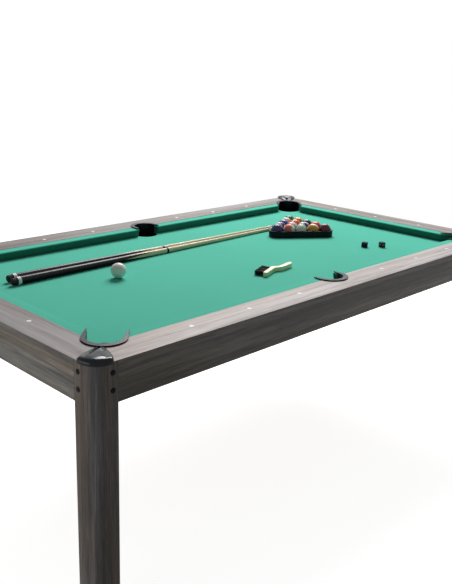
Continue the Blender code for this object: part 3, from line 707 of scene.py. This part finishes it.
# %% [markdown]
# A cue comes apart in the middle. The butt is lacquered black, with black points running into bare maple,
# and ends in a rubber bumper. The shaft is plain maple up to a white ferrule and a leather tip. Both
# are spun, and their patterns are drawn in the cue's own frame: a Mapping node undoes the turn and
# the place of the cue, so Z is the distance from the butt end.

# %% Where the cues lie
cue_length = 1.448
cue_joint = 0.735
butt_radius = 0.0145
joint_radius = 0.0105
joint_chamfer = 0.0004
pin_length = 0.018
pin_radius = 0.004
tip_radius = 0.0062
tip_height = 0.0075
tip_side = 0.0035
bumper_length = 0.020
bumper_radius = 0.0125
bumper_round = 0.004
ferrule_length = 0.025
cue_sides = 40


def cue_place(name):
    """The cue's own frame: its origin at the butt end and Z along it."""
    axis = -Vector(joints[name + "_butt_draw"]["axis"]).normalized()
    ends = [vert.co for vert in nodes[name + "_butt"].data.vertices]
    first = min(end.dot(axis) for end in ends)
    rim = [end for end in ends if end.dot(axis) < first + 0.0001]
    start = Vector([(min(end[i] for end in rim) + max(end[i] for end in rim)) / 2 for i in range(3)])
    return start, axis.to_track_quat("Z", "Y")

# %% Cue finishes
butt_ring = (0.0210, 0.0345)
points_start = 0.50
points_length = 0.17
veneer_width = 0.006
butt_collar = 0.007
shaft_collar = 0.005
line_width = 0.002
pad_width = 0.0015
overrun = 0.001


def cue_finish(name, start, turn, part):
    """Lacquer, points and rings on a butt, or bare maple, ferrule and tip on a shaft."""
    finish = Finish(name, coat_weight=0.03, coat_roughness=0.2, specular_ior_level=0.12)
    local = finish.mapped(start, turn.to_euler(), kind="TEXTURE")
    parts = finish.add("SeparateXYZ", {0: local})
    height = parts.outputs[2]
    grain = finish.noise(finish.vector("MULTIPLY", local, (420.0, 420.0, 7.0)), 1.0, 4.0, 0.6)
    figure = finish.noise(finish.vector("MULTIPLY", local, (70.0, 70.0, 2.2)), 1.0, 3.0, 0.5, 0.5)
    maple = finish.ramp(grain, [(0.30, (0.68, 0.55, 0.34)), (0.50, (0.80, 0.68, 0.46)),
                                (0.80, (0.87, 0.77, 0.56))])
    maple = finish.mixed(finish.spread(figure, 0.4, 0.7, 0.0, 0.30), maple, (0.72, 0.58, 0.38))

    def ring(low, high, colour, under):
        inside = finish.maths("MULTIPLY", finish.maths("GREATER_THAN", height, low),
                              finish.maths("LESS_THAN", height, high))
        return finish.mixed(inside, under, colour)

    black = (0.004, 0.004, 0.006)
    white = (0.90, 0.90, 0.89)
    if part == "butt":
        angle = finish.maths("ARCTAN2", parts.outputs[1], parts.outputs[0])
        turns = finish.maths("MULTIPLY", angle, 4.0 / math.pi)
        spike = finish.maths("PINGPONG", finish.maths("ADD", turns, 8.0), 1.0)
        edge = finish.maths("ADD", finish.maths("MULTIPLY", spike, points_length), points_start)
        below = finish.maths("LESS_THAN", height, edge)
        veneer = finish.maths("LESS_THAN", height, finish.maths("ADD", edge, veneer_width))
        colour = finish.mixed(veneer, maple, (0.50, 0.30, 0.14))
        colour = finish.mixed(below, colour, black)
        collar = cue_joint - butt_collar
        colour = ring(*butt_ring, white, colour)
        colour = ring(collar, cue_joint + overrun, black, colour)
        colour = ring(collar - line_width, collar, white, colour)
    else:
        collar = cue_joint + shaft_collar
        tip = cue_length - tip_height
        colour = ring(0.0, collar, black, maple)
        colour = ring(collar, collar + line_width, white, colour)
        colour = ring(cue_length - ferrule_length, tip - pad_width, white, colour)
        colour = ring(tip - pad_width, tip, (0.02, 0.02, 0.02), colour)
        colour = ring(tip, cue_length + overrun, (0.03, 0.10, 0.17), colour)
    return finish.coloured(colour, finish.spread(grain, 0.3, 0.7, 0.22, 0.32))

# %% Profiles of the cues
def between(first, last, shares, bend=1.0):
    """Points from one to another at some shares of the way. A bend over 1 hollows the taper."""
    return [(first[0] + (last[0] - first[0]) * share ** bend, first[1] + (last[1] - first[1]) * share)
            for share in shares]


def cue_profile_butt():
    end = cue_joint + pin_length
    seam = bumper_length + 0.0002
    profile = [(0, end), (pin_radius - 0.001, end), (pin_radius, end - 0.002), (pin_radius, cue_joint)]
    profile += [(joint_radius - joint_chamfer, cue_joint), (joint_radius, cue_joint - joint_chamfer)]
    profile += between((joint_radius, cue_joint), (butt_radius, bumper_length), (0.25, 0.5, 0.75))
    return profile + [(butt_radius, bumper_length + 0.001), (butt_radius - 0.001, seam), (0, seam)]


def cue_profile_bumper():
    profile = [(0, bumper_length), (bumper_radius, bumper_length), (bumper_radius, bumper_round)]
    return profile + arc((bumper_radius - bumper_round, bumper_round), bumper_round, 0, -80, 6) + [(0, 0.0)]


def cue_profile_shaft():
    neck = cue_length - ferrule_length
    face = cue_joint + gap
    bore = (pin_radius + gap, cue_joint + pin_length + 0.0005)
    profile = arc((0.0, cue_length - tip_height), tip_height, 90, 40, 6)
    profile += [(tip_radius, cue_length - tip_side), (tip_radius, neck)]
    profile += between((tip_radius, neck), (joint_radius, cue_joint), (0.2, 0.4, 0.6, 0.8), 1.3)
    profile += [(joint_radius, face + joint_chamfer), (joint_radius - joint_chamfer, face)]
    return profile + [(bore[0], face), bore, (0, bore[1])]

# %% Two cues
parts = (("butt", cue_profile_butt(), "cue_lacquer"), ("bumper", cue_profile_bumper(), "foot_plastic"),
         ("shaft", cue_profile_shaft(), "cue_maple"))

for name in ("cue_back", "cue_front"):
    start, turn = cue_place(name)
    place = Matrix.Translation(start) @ turn.to_matrix().to_4x4()
    for part, profile, slot in parts:
        shape = turned(profile, cue_sides)
        bmesh.ops.transform(shape, matrix=place, verts=shape.verts)
        thing = from_shape(shape, name + "_turned_" + part)
        body = name if part == "shaft" else name + "_butt"
        if part == "bumper":
            finished(thing, rubber, body)
        else:
            finish = cue_finish(name.replace("_", " ") + " " + part, start, turn, part)
            finished(thing, finish, body, [name + "_" + part])
    print(name, "starts at", [round(value, 4) for value in start])

# %% [markdown]
# The balls are cast resin, polished like glass. A solid ball is one colour with two white spots, and a
# striped one is white with a coloured belt. The belt and the spots are worked out from the direction
# to the ball's centre, so they are sharp at any distance. The numbers are text made into mesh, cut
# fine and laid on the sphere.

# %% Ball finishes
ball_radius = 0.05715 / 2
spot_reach = math.cos(math.radians(15.5))
belt_reach = math.sin(math.radians(33.0))
resin_white = (0.83, 0.81, 0.72)
cue_white = (0.96, 0.95, 0.90)
resin_colours = {1: (0.82, 0.35, 0.030), 2: (0.022, 0.050, 0.32), 3: (0.78, 0.080, 0.060),
                 4: (0.042, 0.018, 0.14), 5: (0.85, 0.17, 0.09), 6: (0.02, 0.22, 0.11),
                 7: (0.15, 0.010, 0.026), 8: (0.008, 0.008, 0.011)}


def resin(name, number, centre, pole, spot):
    """Polished resin. The pole is the axis of the belt, and the spot the axis of the two numbers."""
    ball = Finish(name, roughness=0.08, specular_ior_level=0.22)
    cloud = ball.noise(ball.place, 90.0, 2.0)
    white = ball.mixed(ball.spread(cloud, 0.3, 0.7), resin_white, tuple(v * 0.95 for v in resin_white))
    if number == 0:
        return ball.coloured(ball.mixed(ball.spread(cloud, 0.3, 0.7), cue_white, resin_white))
    outward = ball.vector("NORMALIZE", ball.vector("SUBTRACT", ball.place, tuple(centre)))
    to_pole = ball.maths("ABSOLUTE", ball.vector("DOT_PRODUCT", outward, tuple(pole)))
    to_spot = ball.maths("ABSOLUTE", ball.vector("DOT_PRODUCT", outward, tuple(spot)))
    colour = resin_colours[number if number < 9 else number - 8]
    shade = ball.mixed(ball.spread(cloud, 0.3, 0.7), colour, tuple(value * 0.88 for value in colour))
    if number > 8:
        shade = ball.mixed(ball.maths("GREATER_THAN", to_pole, belt_reach), shade, white)
    return ball.coloured(ball.mixed(ball.maths("GREATER_THAN", to_spot, spot_reach), shade, white))


def ink(name):
    black = Finish(name, coat_weight=0.4)
    specks = [(0.2, (0.008, 0.008, 0.009)), (0.8, (0.016, 0.016, 0.017))]
    return black.coloured(black.ramp(black.noise(black.place, 800.0), specks), 0.1)


number_ink = ink("black resin")

# %% Ball numbers
number_size = 0.0098
number_lift = 0.00006
longest_edge = 0.0012
number_cuts = 4


def number_mesh(number):
    """A number as a flat mesh about its middle, cut into small faces."""
    curve = bpy.data.curves.new("number", "FONT")
    curve.body = str(number)
    curve.size = number_size
    curve.align_x = "CENTER"
    curve.align_y = "CENTER"
    text = bpy.data.objects.new("number", curve)
    bpy.context.scene.collection.objects.link(text)
    depsgraph = bpy.context.evaluated_depsgraph_get()
    mesh = bpy.data.meshes.new_from_object(text.evaluated_get(depsgraph))
    bpy.data.objects.remove(text)
    shape = bmesh.new()
    shape.from_mesh(mesh)
    bpy.data.meshes.remove(mesh)
    bmesh.ops.remove_doubles(shape, verts=shape.verts, dist=weld)
    bmesh.ops.triangulate(shape, faces=shape.faces)
    for _ in range(number_cuts):
        long_edges = [edge for edge in shape.edges if edge.calc_length() > longest_edge]
        bmesh.ops.subdivide_edges(shape, edges=long_edges, cuts=1)
        bmesh.ops.triangulate(shape, faces=[face for face in shape.faces if len(face.verts) > 3])
    return shape


def lay_number(shape, centre, pole, spot):
    """Lay a flat number on the sphere about its spot."""
    side = pole.cross(spot).normalized()
    for vert in shape.verts:
        flat = side * vert.co.x + pole * vert.co.y
        depth = math.sqrt(ball_radius ** 2 - flat.length_squared)
        vert.co = centre + (flat + spot * depth).normalized() * (ball_radius + number_lift)

# %% Sixteen balls
ball_looks = {0: (0, 0, 0), 1: (300, 10, -120), 2: (280, 0, -35), 3: (308, 0, -118), 4: (352, 0, 18),
              5: (290, 12, -105), 6: (295, 20, -110), 7: (308, 0, -125), 8: (310, 5, -100), 9: (0, 48, 30),
              10: (162, 20, 65), 11: (225, 20, 75), 12: (182, 16, 20), 13: (303, 8, 70), 14: (222, 18, 30),
              15: (205, 30, 40)}


def ball_axes(number):
    """A ball's pole and spot, from the compass angle, the tilt and the roll it came to rest at."""
    compass, tilt, roll = (math.radians(value) for value in ball_looks[number])
    pole = Vector((math.cos(compass) * math.cos(tilt), math.sin(compass) * math.cos(tilt), math.sin(tilt)))
    level = pole.cross(Vector((0, 0, 1)) if abs(pole.z) < 0.9 else Vector((1, 0, 0))).normalized()
    return pole, Matrix.Rotation(roll, 3, pole) @ level


for number in range(16):
    node = "ball_%02d" % number if number else "cue_ball"
    low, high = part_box(node)
    centre = (low + high) / 2
    pole, spot = ball_axes(number)
    shape = bmesh.new()
    bmesh.ops.create_uvsphere(shape, u_segments=64, v_segments=32, radius=ball_radius)
    bmesh.ops.translate(shape, vec=centre, verts=shape.verts)
    finish = resin(node.replace("_", " ") + " resin", number, centre, pole, spot)
    finished(from_shape(shape, node + "_resin"), finish, node, [node], 80.0)
    if not number:
        continue
    for side, label in ((1, "near"), (-1, "far")):
        shape = number_mesh(number)
        lay_number(shape, centre, pole, spot * side)
        mark = from_shape(shape, node + "_number_" + label, closed=False)
        finished(mark, number_ink, node, angle=80.0)
print("sixteen balls, radius", round(ball_radius, 5))

# %% [markdown]
# The rack is a triangle of moulded plastic with round corners. Its solid has the true outline, so a copy
# with well-rounded edges stands for it.

# %% Rack
rack_round = 0.0016
dress("ball_rack", rack_plastic, "rack_plastic", rack_round, 4, 35.0)

# %% [markdown]
# The brush has a body of pale varnished wood and a block of black bristles. The body's copy is remeshed
# finely and then smoothed, which takes the saw's edges off as sandpaper does. Bristles come in
# tufts, each set in its own hole: one tuft of a few thin cones is made, then copied to every hole
# with a small turn and lean, so that the ends look like brushed hair.

# %% Brush
brush_turn = math.radians(21.6)
skin_voxel = 0.0009
sanding_passes = 8


def varnished(name, turn):
    wood = Finish(name, coat_weight=0.35, coat_roughness=0.12)
    along = wood.mapped(turn=(0, 0, -turn))
    rings = wood.noise(wood.vector("MULTIPLY", along, (9.0, 160.0, 160.0)), 1.0, 4.0, 0.6, 0.8)
    fibre = wood.noise(wood.vector("MULTIPLY", along, (60.0, 1500.0, 1500.0)), 1.0, 2.0)
    colour = wood.ramp(rings, [(0.3, (0.80, 0.73, 0.38)), (0.5, (0.90, 0.86, 0.53)),
                               (0.75, (0.95, 0.92, 0.64))])
    wood.bump(fibre, 0.15, 0.0002)
    return wood.coloured(colour, wood.spread(fibre, 0.3, 0.7, 0.28, 0.38))


handle = from_shape(copy_of("brush_handle"), "brush_handle_wood")
finished(handle, varnished("varnished beech", brush_turn), "brush", ["brush_handle"], 60.0)
remesh = handle.modifiers.new("Fine skin", "REMESH")
remesh.mode = "VOXEL"
remesh.voxel_size = skin_voxel
remesh.use_smooth_shade = True
sand = handle.modifiers.new("Sanded", "SMOOTH")
sand.factor = 0.5
sand.iterations = sanding_passes

# %% Bristles
tuft_columns = 26
tuft_rows = 5
tuft_spread = 0.0015
tuft_lean = (0.05, 0.09)
bristle_trim = 0.0005
bristle_thickness = 0.00042
bristle_lean = 0.035
bristles_per_tuft = 9
golden_turn = 2.4


def make_tuft(length):
    """A tuft of thin cones that fan out from one hole."""
    luck = random.Random(3)
    shape = bmesh.new()
    for number in range(bristles_per_tuft):
        angle = number * golden_turn
        reach = tuft_spread * math.sqrt(number / bristles_per_tuft)
        tall = length * (1.0 - 0.04 * luck.random())
        made = bmesh.ops.create_cone(shape, cap_ends=True, segments=4, radius1=bristle_thickness,
                                     radius2=bristle_thickness * 0.45, depth=tall)["verts"]
        lean = [Matrix.Rotation(bristle_lean * luck.uniform(-1, 1), 4, axis) for axis in "XY"]
        root = Matrix.Translation((reach * math.cos(angle), reach * math.sin(angle), 0))
        stood = Matrix.Translation((0, 0, tall / 2))
        bmesh.ops.transform(shape, matrix=root @ lean[0] @ lean[1] @ stood, verts=made)
    mesh = bpy.data.meshes.new("tuft")
    shape.to_mesh(mesh)
    shape.free()
    return mesh


def hair(name):
    black = Finish(name, roughness=0.6, specular_ior_level=0.2)
    strands = black.noise(black.place, 700.0, 2.0)
    return black.coloured(black.ramp(strands, [(0.3, (0.004, 0.004, 0.005)), (0.7, (0.014, 0.012, 0.017))]))

# %% Tufts in their holes
along = Vector((math.cos(brush_turn), math.sin(brush_turn), 0))
outward = Vector((-math.sin(brush_turn), math.cos(brush_turn), 0))
corners = [vert.co for vert in nodes["brush_bristles"].data.vertices]
seat = min(corner.dot(outward) for corner in corners)
reach = max(corner.dot(outward) for corner in corners)
base = [corner for corner in corners if corner.dot(outward) < seat + bristle_trim]
start = min(corner.dot(along) for corner in base) + tuft_spread
end = max(corner.dot(along) for corner in base) - tuft_spread
low = min(corner.z for corner in base) + tuft_spread
high = max(corner.z for corner in base) - tuft_spread
tuft = make_tuft(reach - seat - bristle_trim)
luck = random.Random(11)
shape = bmesh.new()
frame_turn = Matrix((along, Vector((0, 0, 1)), outward)).transposed().to_4x4()
for column in range(tuft_columns):
    for row in range(tuft_rows):
        before = len(shape.verts)
        shape.from_mesh(tuft)
        shape.verts.ensure_lookup_table()
        new = shape.verts[before:]
        share = column / (tuft_columns - 1)
        rise = row / (tuft_rows - 1)
        lean = Matrix.Rotation((share - 0.5) * tuft_lean[1], 4, "Y")
        lean = lean @ Matrix.Rotation((0.5 - rise) * tuft_lean[0], 4, "X")
        spin = Matrix.Rotation(luck.uniform(0, math.tau), 4, "Z")
        root = along * (start + (end - start) * share) + outward * seat
        root.z = low + (high - low) * rise
        bmesh.ops.transform(shape, matrix=Matrix.Translation(root) @ frame_turn @ lean @ spin, verts=new)
bpy.data.meshes.remove(tuft)
bristles = from_shape(shape, "brush_tufts")
finished(bristles, hair("black bristle"), "brush", ["brush_bristles"], 60.0)
print("bristles", tuft_columns * tuft_rows * bristles_per_tuft)

# %% [markdown]
# A block of chalk is pressed powder in a paper label that leaves the top bare. The label wraps the four
# sides, so it is drawn by height, and a pale panel sits in the middle of each side.

# %% Chalk
bare_above = 0.0075
panel_half_width = 0.0075
panel_half_height = 0.0055


def chalk_finish(name, centre, turn, label):
    chalk = Finish(name, roughness=0.85, specular_ior_level=0.1)
    local = chalk.mapped(tuple(centre), (0, 0, turn), kind="TEXTURE")
    parts = chalk.add("SeparateXYZ", {0: local})
    powder = chalk.noise(chalk.place, 1800.0, 3.0, 0.7)
    patches = chalk.noise(chalk.place, 240.0, 2.0)
    chalk.bump(powder, 0.5, 0.0003)
    colour = chalk.mixed(chalk.spread(patches, 0.35, 0.65), (0.070, 0.065, 0.100), (0.125, 0.115, 0.165))
    side = chalk.maths("LESS_THAN", parts.outputs[2], bare_above)
    colour = chalk.mixed(side, colour, (0.006, 0.007, 0.011))
    away = [chalk.maths("ABSOLUTE", output) for output in parts.outputs]
    across = chalk.maths("LESS_THAN", chalk.maths("MINIMUM", away[0], away[1]), panel_half_width)
    panel = chalk.maths("MULTIPLY", across, chalk.maths("LESS_THAN", away[2], panel_half_height))
    return chalk.coloured(chalk.mixed(panel, colour, label))


for name, turn, label in (("chalk_left", 12.0, (0.020, 0.022, 0.032)),
                          ("chalk_right", -25.0, (0.16, 0.15, 0.085))):
    low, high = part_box(name)
    thing = from_shape(copy_of(name), name + "_block")
    finish = chalk_finish(name.replace("_", " ") + " block", (low + high) / 2, math.radians(turn), label)
    finished(thing, finish, name, [name], 40.0)

# %% [markdown]
# The stage is a white floor that keeps the table's shadow, and a white world. Only the camera and
# mirror reflections see them at full white. The light that bounces back from them is held
# lower, so that the sides of the table stay as dark as they are written.

# %% Stage
def seen_directly(finish):
    """1 for camera, glossy and transmission rays, 0 for the light that bounces."""
    path = finish.add("LightPath")
    seen = finish.maths("MAXIMUM", path.outputs["Is Camera Ray"], path.outputs["Is Glossy Ray"])
    return finish.maths("MAXIMUM", seen, path.outputs["Is Transmission Ray"])


floor_size = 60.0
floor_bounce = 0.30
floor_glow = 0.86
shadow_reach = (1.6, 4.5)
shape = bmesh.new()
bmesh.ops.create_grid(shape, x_segments=1, y_segments=1, size=floor_size / 2)
floor = from_shape(shape, "floor")
paper = Finish("white floor", roughness=1.0, specular_ior_level=0.0)
seen = seen_directly(paper)
far = paper.spread(paper.vector("LENGTH", paper.place), shadow_reach[0], shadow_reach[1])
glow = paper.maths("ADD", floor_glow, paper.maths("MULTIPLY", far, 1.0 - floor_glow))
shade = paper.mixed(far, (0.86, 0.86, 0.86), (0.0, 0.0, 0.0))
paper.give(paper.shader, "Emission Color", (1.0, 1.0, 1.0))
paper.give(paper.shader, "Emission Strength", paper.maths("MULTIPLY", glow, seen))
floor.data.materials.append(paper.coloured(paper.mixed(seen, (floor_bounce,) * 3, shade)))

# %% World
class Sky(Finish):
    """A world in the making, with the same ways to add nodes as a material."""

    def __init__(self, name):
        self.world = bpy.data.worlds.new(name)
        self.world.use_nodes = True
        self.tree = self.world.node_tree
        self.tree.nodes.clear()


sky_strength = 0.14
sky = Sky("studio")
strength = sky.spread(seen_directly(sky), 0.0, 1.0, sky_strength, 1.0)
background = sky.add("Background", {"Color": (1.0, 1.0, 1.0), "Strength": strength})
sky.add("OutputWorld", {"Surface": background.outputs[0]})
bpy.context.scene.world = sky.world

# %% [markdown]
# The light is soft and comes from above and behind, so the rails are pale and the near side is in its
# own shade. A wide lamp at the left end lifts that end.

# %% Lamps
def soft_lamp(name, place, target, size, power):
    lamp = bpy.data.lights.new(name, "AREA")
    lamp.shape = "RECTANGLE"
    lamp.size = size[0]
    lamp.size_y = size[1]
    lamp.energy = power
    thing = bpy.data.objects.new(name, lamp)
    thing.location = place
    thing.rotation_euler = (Vector(target) - Vector(place)).to_track_quat("-Z", "Y").to_euler()
    bpy.context.scene.collection.objects.link(thing)


soft_lamp("overhead", (3.2, 2.6, 4.6), (0.1, 0.0, 0.75), (3.4, 3.0), 400.0)
soft_lamp("left end", (-3.2, 0.1, 0.42), (-1.1, 0.0, 0.66), (2.6, 0.55), 15.0)

# %% [markdown]
# The camera stands off the near left corner, at the height of a grown-up's eyes, and looks down the
# table. Its place, angles and focal length make the table's edges fall on the lines of the photograph,
# as nearly as one small sideways shift allows.

# %% Camera
image_width = 452
image_height = 584
sensor_width = 36.0
focal_pixels = 749.4
centre_pixel = 214.0
yaw = math.radians(44.707)
pitch = math.radians(17.371)
roll = math.radians(1.808)
eye = Vector((-2.1552, -2.0668, 1.5358))

forward = Vector((math.cos(pitch) * math.cos(yaw), math.cos(pitch) * math.sin(yaw), -math.sin(pitch)))
right = Vector((math.sin(yaw), -math.cos(yaw), 0))
upward = right.cross(forward)
rolled_right = right * math.cos(roll) + upward * math.sin(roll)
rolled_up = upward * math.cos(roll) - right * math.sin(roll)
lens = bpy.data.cameras.new("camera")
lens.sensor_width = sensor_width
lens.lens = focal_pixels / image_height * lens.sensor_width
lens.shift_x = (image_width / 2 - centre_pixel) / image_height
camera = bpy.data.objects.new("camera", lens)
aim = Matrix((rolled_right, rolled_up, -forward)).transposed().to_4x4()
camera.matrix_world = Matrix.Translation(eye) @ aim
bpy.context.scene.collection.objects.link(camera)
bpy.context.scene.camera = camera
bpy.context.scene.view_settings.view_transform = "Standard"
print("lens", round(lens.lens, 2), "mm, shift", round(lens.shift_x, 4))

# %% [markdown]
# The view layer is brought up to date at the end. The looks may round an edge but never move a piece.

# %% Update the scene
bpy.context.view_layer.update()
